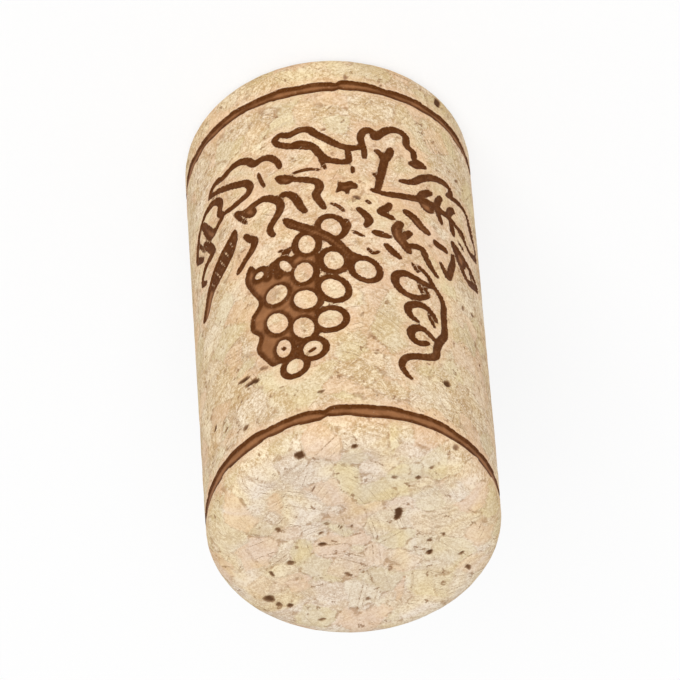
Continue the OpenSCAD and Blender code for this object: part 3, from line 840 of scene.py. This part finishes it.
class Paint:
    """The nodes of a material or of the world."""

    def __init__(self, owner):
        owner.use_nodes = True
        self.owner = owner
        self.nodes = owner.node_tree.nodes
        self.links = owner.node_tree.links
        self.nodes.clear()

    def node(self, kind, settings, inputs, output=0):
        """Adds a node: sets its settings first, then links or sets its inputs, by name or number.
        Gives the output by name or number, wrapped so that it can be used in sums."""
        node = self.nodes.new(kind)
        for key, value in settings.items():
            setattr(node, key, value)
        for key, value in inputs.items():
            self.feed(self.pick(node.inputs, key), value)
        return Value(self, self.pick(node.outputs, output)) if node.outputs else None

    def pick(self, sockets, key):
        """A node's socket by number, or the one in use by name."""
        if isinstance(key, int):
            return sockets[key]
        return next(s for s in sockets if s.name == key and s.enabled)

    def feed(self, socket, value):
        """Links a varying value to a socket, or sets a fixed one on it."""
        if isinstance(value, Value):
            self.links.new(value.socket, socket)
        else:
            socket.default_value = value

    def mix(self, share, first, second, blend="MIX"):
        """Colour first changed to second by share."""
        settings = {"data_type": "RGBA", "blend_type": blend}
        return self.node("ShaderNodeMix", settings, {"Factor": share, "A": first, "B": second}, "Result")

    def noise(self, place, scale, detail=2.0, roughness=0.5, distortion=0.0):
        """Soft noise around 0.5, of the given number of waves to the millimetre."""
        inputs = {
            "Vector": place,
            "Scale": scale,
            "Detail": detail,
            "Roughness": roughness,
            "Distortion": distortion,
        }
        return self.node("ShaderNodeTexNoise", {}, inputs)

    def noise_along(self, length, scale):
        """Soft noise around 0.5 that changes only with one length."""
        return self.node("ShaderNodeTexNoise", {"noise_dimensions": "1D"}, {"W": length, "Scale": scale})

    def vectors(self, operation, inputs, output=0):
        """The Vector Math node of that name."""
        return self.node("ShaderNodeVectorMath", {"operation": operation}, inputs, output)

    def part(self, vector, axis):
        """The number that a vector has along axis 0, 1 or 2."""
        return self.node("ShaderNodeSeparateXYZ", {}, {0: vector}, axis)

    def held(self, name, output="Fac"):
        """What the mesh holds for each vertex: a number, or a vector where output says so."""
        return self.node("ShaderNodeAttribute", {"attribute_name": name}, {}, output)


def srgb(red, green, blue):
    """A colour as seen, from 0 to 255, as the linear values that materials take."""
    shares = np.array([red, green, blue]) / 255
    linear = np.where(shares <= 0.04045, shares / 12.92, ((shares + 0.055) / 1.055) ** 2.4)
    return (*linear, 1.0)


# Colours of the cork: its darkest and lightest tone, the paler ends, the pinker and greener granules
DARK_CORK = srgb(190, 154, 108)
LIGHT_CORK = srgb(250, 232, 200)
END_CORK = srgb(232, 217, 196)
PINK_CORK = srgb(230, 190, 152)
GREEN_CORK = srgb(220, 204, 156)
# Factors that tinge it cooler and warmer
COOL_TINGE = (0.985, 1.015, 1.13, 1)
WARM_TINGE = (1.01, 0.995, 0.9, 1)
# What lies in it: borders, strokes, specks, the brown rim of a hollow, and its floor, which is its own brown
# darkened by painted shade
BORDER_BROWN = srgb(160, 118, 76)
STROKE_BROWN = srgb(144, 102, 62)
SPECK_BROWN = srgb(140, 98, 60)
RIM_BROWN = srgb(128, 88, 52)
FLOOR_BROWN_AND_SHADE = srgb(80, 48, 24)
# Ink: the stain beside it, its edge, its middle, and its lighter mottles
INK_STAIN = srgb(238, 192, 154)
INK_EDGE = srgb(88, 45, 6)
INK_MIDDLE = srgb(160, 108, 68)
INK_MOTTLE = srgb(148, 95, 50)


def cork_with_print():
    """Granulated cork with ink where the print is pressed in. The cork's tone is a weighted sum of
    each granule's tint, its lamellae and noises of four sizes, and its hue changes by granule and in
    wide fields. Borders, strokes, specks, hollows with painted shade towards their floor, and then the
    ink are laid over it. The ink is darkest along its edge, and redder and lighter where it is wide."""
    paint = Paint(bpy.data.materials.new("printed_granulated_cork"))
    place = paint.node("ShaderNodeTexCoord", {}, {}, "Object")
    millimetres = paint.vectors("SCALE", {0: place, "Scale": 1 / MM})
    depth = paint.held("print_depth")
    border = paint.held("border")
    hollow = paint.held("hollow")
    nature = paint.held("nature", "Vector")
    lamella = paint.held("lamella", "Vector")
    tint = paint.part(nature, 0)
    hue = paint.part(nature, 1)
    warmth = paint.part(nature, 2)
    height = paint.part(millimetres, 2)

    grain = paint.noise(millimetres, 12.0, detail=2.0, roughness=0.6)
    fine = paint.noise(millimetres, 4.5, detail=3.0, roughness=0.6)
    mottle = paint.noise(millimetres, 1.3, detail=3.0, roughness=0.55, distortion=0.6)
    patches = paint.noise(millimetres, 0.3)
    fields = paint.noise(millimetres, 0.24, distortion=1.0)
    across = paint.vectors("DOT_PRODUCT", {0: millimetres, 1: lamella}, "Value")
    layers = paint.noise_along(across + fine * 0.5, 3.0)
    strokes = paint.noise_along(across + fine * 0.3, 6.5)
    jitter = fine - 0.5

    # Cork: tone from 0, dark, to 1, light, with more contrast on the two ends
    end = height.step(CORK_L - 1.2, CORK_L - 0.2) + (1 - height.step(0.2, 1.2))
    tone = tint * 0.25 + mottle * 1.2 + patches * 0.5 + fine * 2.3 + grain * 1.9 - layers * 0.5 - 2.35
    tone = tone + ((tone - 0.5) * 0.25 + 0.06) * end
    colour = paint.mix(tone, DARK_CORK, LIGHT_CORK)
    colour = paint.mix(end * 0.35, colour, END_CORK)

    # A few granules pinker or greener, and wide fields cooler or warmer
    colour = paint.mix(hue.step(0.6, 0.95) * 0.4, colour, PINK_CORK)
    colour = paint.mix((1 - hue).step(0.6, 0.95) * 0.35, colour, GREEN_CORK)
    tinge = paint.mix(warmth * 0.4 + fields * 3.4 - 1.5, COOL_TINGE, WARM_TINGE)
    colour = paint.mix(0.6 + end * 0.4, colour, tinge, "MULTIPLY")

    # Borders between granules, broken up
    line = (1 - (border + jitter * 0.12).step(0.02, 0.12)) * mottle.step(0.42, 0.6)
    colour = paint.mix(line * (0.3 + mottle.step(0.5, 0.62) * 0.35), colour, BORDER_BROWN)

    # Short dark strokes along the lamellae, in some places
    streaked = (1 - patches + end * 0.04).step(0.43, 0.53)
    stroke = strokes.step(0.58, 0.7) * streaked * fine.step(0.44, 0.56)
    colour = paint.mix(stroke * 0.75, colour, STROKE_BROWN)

    # Specks: cells of which some hold a small dark grain
    push = paint.node("ShaderNodeTexNoise", {}, {"Vector": millimetres, "Scale": 3.0}, "Color")
    pushed = paint.vectors("ADD", {0: millimetres, 1: push})
    cells = paint.node("ShaderNodeTexVoronoi", {}, {"Vector": pushed, "Scale": 0.95})
    chance = paint.part(cells.also("Color"), 0)
    speck = (1 - cells.step(0.1, 0.26)) * chance.step(0.5, 0.75)
    colour = paint.mix(speck * 0.75, colour, SPECK_BROWN)

    # Hollows and slits in the cork's own brown, with painted shade that darkens them towards their floor
    sunk = hollow + jitter * 0.3
    pit = sunk.step(0.04, 0.34)
    colour = paint.mix(pit * 0.85, colour, RIM_BROWN)
    # Painted shade deep in each hollow, over its own brown
    colour = paint.mix(sunk.step(0.25, 0.65) * 0.9, colour, FLOOR_BROWN_AND_SHADE)

    # Ink, over a faint stain of the cork close to it
    ragged = depth + jitter * 0.16 + (grain - 0.5) * 0.1
    colour = paint.mix(ragged.step(-0.9, -0.1) * 0.3, colour, INK_STAIN)
    core = ragged.step(0.26, 0.6) + (mottle - 0.5) * 1.2
    ink_colour = paint.mix(core * 0.85, INK_EDGE, INK_MIDDLE)
    ink_colour = paint.mix((1 - fine).step(0.5, 0.75) * 0.3, ink_colour, INK_MOTTLE)
    worn = (grain * 0.5 + fine * 0.5).step(0.62, 0.72) * 0.5
    ink = ragged.step(-0.03, 0.035)
    colour = paint.mix(ink * (1 - worn), colour, ink_colour)

    # Fine relief and roughness
    raised = fine * 0.35 + grain * 0.2 + mottle * 0.3 - line * 0.5 - pit * 0.9 - speck * 0.4 - ink * 0.4
    bump = paint.node("ShaderNodeBump", {}, {"Strength": 0.35, "Distance": 0.12 * MM, "Height": raised})
    inputs = {
        "Base Color": colour,
        "Roughness": 0.84 - ink * 0.12 + jitter * 0.12,
        "Normal": bump,
        "Specular IOR Level": 0.1,
    }
    surface = paint.node("ShaderNodeBsdfPrincipled", {}, inputs)
    paint.node("ShaderNodeOutputMaterial", {}, {"Surface": surface})
    return paint.owner


def pale_floor():
    """A white floor that keeps the stopper's shadow. Where the camera looks at it directly, in a
    reflection or through glass, it is three quarters its own plain white and one quarter lit."""
    paint = Paint(bpy.data.materials.new("pale_floor"))
    rays = paint.node("ShaderNodeLightPath", {}, {}, "Is Camera Ray")
    seen = rays + rays.also("Is Glossy Ray") + rays.also("Is Transmission Ray")
    matt = paint.node("ShaderNodeBsdfDiffuse", {}, {"Color": srgb(250, 250, 250)})
    white = paint.node("ShaderNodeEmission", {}, {"Strength": 1.0})
    both = paint.node("ShaderNodeMixShader", {}, {0: seen * 0.75, 1: matt, 2: white})
    paint.node("ShaderNodeOutputMaterial", {}, {"Surface": both})
    return paint.owner


def make_floor():
    """A round plate in the plane that the stopper stands on, from a ring of points."""
    reach, sides = 1.6, 96
    angle = 2 * np.pi * np.arange(sides) / sides
    ring = np.stack([reach * np.cos(angle), reach * np.sin(angle), np.zeros(sides)], -1)
    mesh = bpy.data.meshes.new("floor")
    mesh.from_pydata(ring.tolist(), [], [list(range(sides))])
    mesh.materials.append(pale_floor())
    floor = bpy.data.objects.new("floor", mesh)
    bpy.context.scene.collection.objects.link(floor)


def direction(turn, elevation):
    """Unit vector from the stopper: turn degrees from the front towards +X, and up by elevation."""
    t, e = math.radians(turn), math.radians(elevation)
    return Vector((math.sin(t) * math.cos(e), -math.cos(t) * math.cos(e), math.sin(e)))


def make_sun(name, turn, elevation, strength, spread):
    """A distant lamp that shines at the stopper from the given side, softened by its spread."""
    lamp = bpy.data.lights.new(name, "SUN")
    lamp.energy = strength
    lamp.angle = math.radians(spread)
    sun = bpy.data.objects.new(name, lamp)
    sun.rotation_mode = "QUATERNION"
    sun.rotation_quaternion = direction(turn, elevation).to_track_quat("Z", "Y")
    bpy.context.scene.collection.objects.link(sun)


def make_world(strength):
    """Even white light of that strength from all round, plain white where the camera sees it."""
    paint = Paint(bpy.data.worlds.new("studio"))
    white = (1, 1, 1, 1)
    rays = paint.node("ShaderNodeLightPath", {}, {}, "Is Camera Ray")
    light = paint.node("ShaderNodeBackground", {}, {"Color": white, "Strength": strength})
    backdrop = paint.node("ShaderNodeBackground", {}, {"Color": white, "Strength": 1.0})
    both = paint.node("ShaderNodeMixShader", {}, {0: rays, 1: light, 2: backdrop})
    paint.node("ShaderNodeOutputWorld", {}, {"Surface": both})
    bpy.context.scene.world = paint.owner


def make_camera(distance, turn, elevation, roll, aim_z, lens):
    """The photograph's view, from a distance in metres and a side and height in degrees, aimed at the
    stopper's axis. Its roll of nearly half a turn shows the top end at the bottom of the picture."""
    data = bpy.data.cameras.new("camera")
    data.lens = lens
    data.clip_start, data.clip_end = 0.05, 10
    camera = bpy.data.objects.new("camera", data)
    towards = direction(turn, elevation)
    upright = towards.to_track_quat("Z", "Y").to_matrix().to_4x4()
    rolled = upright @ Matrix.Rotation(math.radians(roll), 4, "Z")
    place = Vector((0, 0, aim_z)) + towards * distance
    camera.matrix_world = Matrix.Translation(place) @ rolled
    bpy.context.scene.collection.objects.link(camera)
    bpy.context.scene.camera = camera


make_camera(distance=0.7025, turn=5.0, elevation=46.0, roll=175.7, aim_z=0.0216, lens=470)
make_world(strength=0.62)
make_sun("key", turn=13, elevation=50, strength=1.65, spread=35)
make_floor()
bpy.context.scene.view_settings.view_transform = "Standard"

stopper = make_stopper()
stopper.data.materials.append(cork_with_print())
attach(stopper, "root")
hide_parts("stopper")
